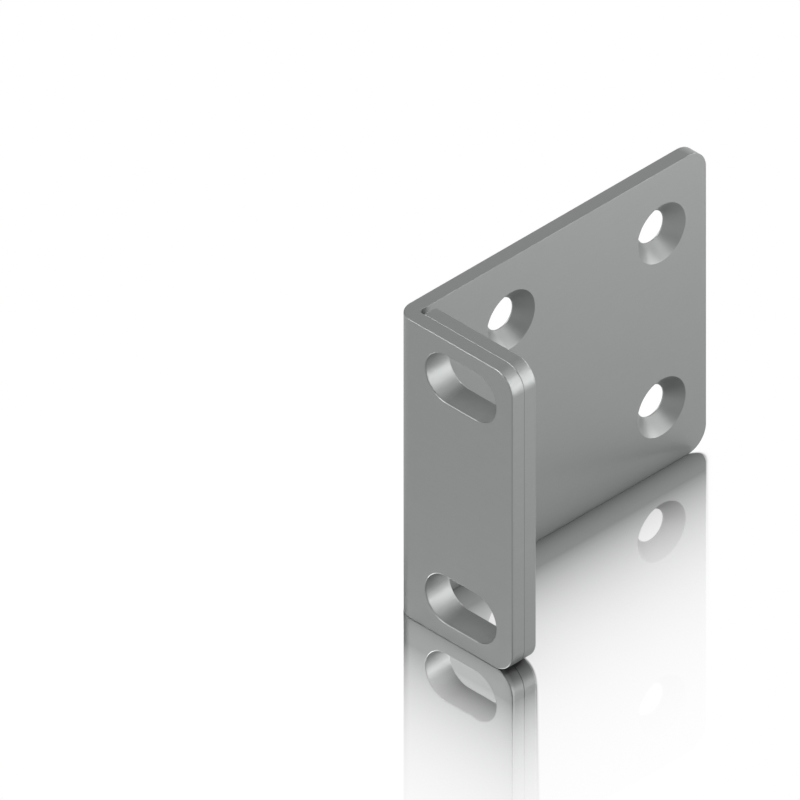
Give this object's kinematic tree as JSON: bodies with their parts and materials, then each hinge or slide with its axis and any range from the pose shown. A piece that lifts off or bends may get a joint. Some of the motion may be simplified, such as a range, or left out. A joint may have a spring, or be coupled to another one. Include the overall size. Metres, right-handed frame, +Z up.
{
  "type": "rack mount ear bracket",
  "caption": "Folded steel ear bracket for a 1U rack device: a side flange with countersunk screw holes, and a slotted ear doubled by a flat backing plate.",
  "frame": {"origin": "middle of the four device screw holes, on the flange's outer face, at mid-height", "axes": "+X out along the ear, away from the device's side; +Y back along the flange, into the rack; +Z up"},
  "size_m": [0.0195, 0.0497, 0.0428],
  "materials": {
    "satin_steel": "satin"
  },
  "bodies": {
    "root": {"folded_bracket": "satin_steel", "ear_backing_plate": "satin_steel"}
  },
  "joints": []
}
